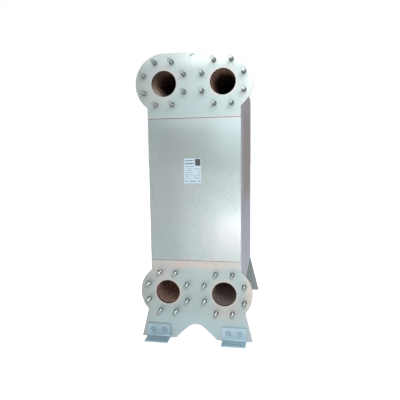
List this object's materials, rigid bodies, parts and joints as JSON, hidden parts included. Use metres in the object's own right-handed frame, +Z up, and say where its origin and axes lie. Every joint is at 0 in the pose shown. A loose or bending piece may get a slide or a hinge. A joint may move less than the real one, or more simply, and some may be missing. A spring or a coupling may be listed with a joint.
{
  "type": "brazed plate heat exchanger",
  "caption": "Floor-standing brazed plate heat exchanger: channel plate pack between steel end plates, round ports with studs, feet with floor brackets.",
  "frame": {"origin": "floor level, midway between the front and rear plates and between the left and right ports", "axes": "+Z up, -Y out of the ports at the front, +X to the right as seen from the front"},
  "size_m": [0.476, 0.8136, 1.1833],
  "materials": {
    "plate_steel": "brushed stainless steel with a pinkish copper tint round the ports",
    "cover_steel": "cold rolled stainless steel, satin",
    "pack_steel": "stainless plate edges with copper braze between them",
    "braze_copper": "dull brown braze copper over ribs",
    "stud_steel": "turned stainless steel",
    "zinc_steel": "bluish zinc plate",
    "fastener_zinc": "bright zinc plate",
    "label_film": "matt film label"
  },
  "bodies": {
    "root": {"front_upper_plate": "plate_steel", "front_cover_plate": "cover_steel", "front_lower_plate": "plate_steel", "front_end_plate": "pack_steel", "channel_plate_pack": "pack_steel", "rear_end_plate": "pack_steel", "rear_upper_plate": "plate_steel", "rear_cover_plate": "cover_steel", "rear_lower_plate": "plate_steel", "collars_upper_left": "braze_copper", "collars_upper_right": "braze_copper", "collars_lower_left": "braze_copper", "collars_lower_right": "braze_copper", "studs_upper_left": "stud_steel", "studs_upper_right": "stud_steel", "studs_lower_left": "stud_steel", "studs_lower_right": "stud_steel", "bracket_front_left": "zinc_steel", "bracket_front_right": "zinc_steel", "bracket_rear_left": "zinc_steel", "bracket_rear_right": "zinc_steel", "bolts_front_left": "fastener_zinc", "bolts_front_right": "fastener_zinc", "bolts_rear_left": "fastener_zinc", "bolts_rear_right": "fastener_zinc", "nuts_front_left": "fastener_zinc", "nuts_front_right": "fastener_zinc", "nuts_rear_left": "fastener_zinc", "nuts_rear_right": "fastener_zinc"}
  },
  "joints": []
}
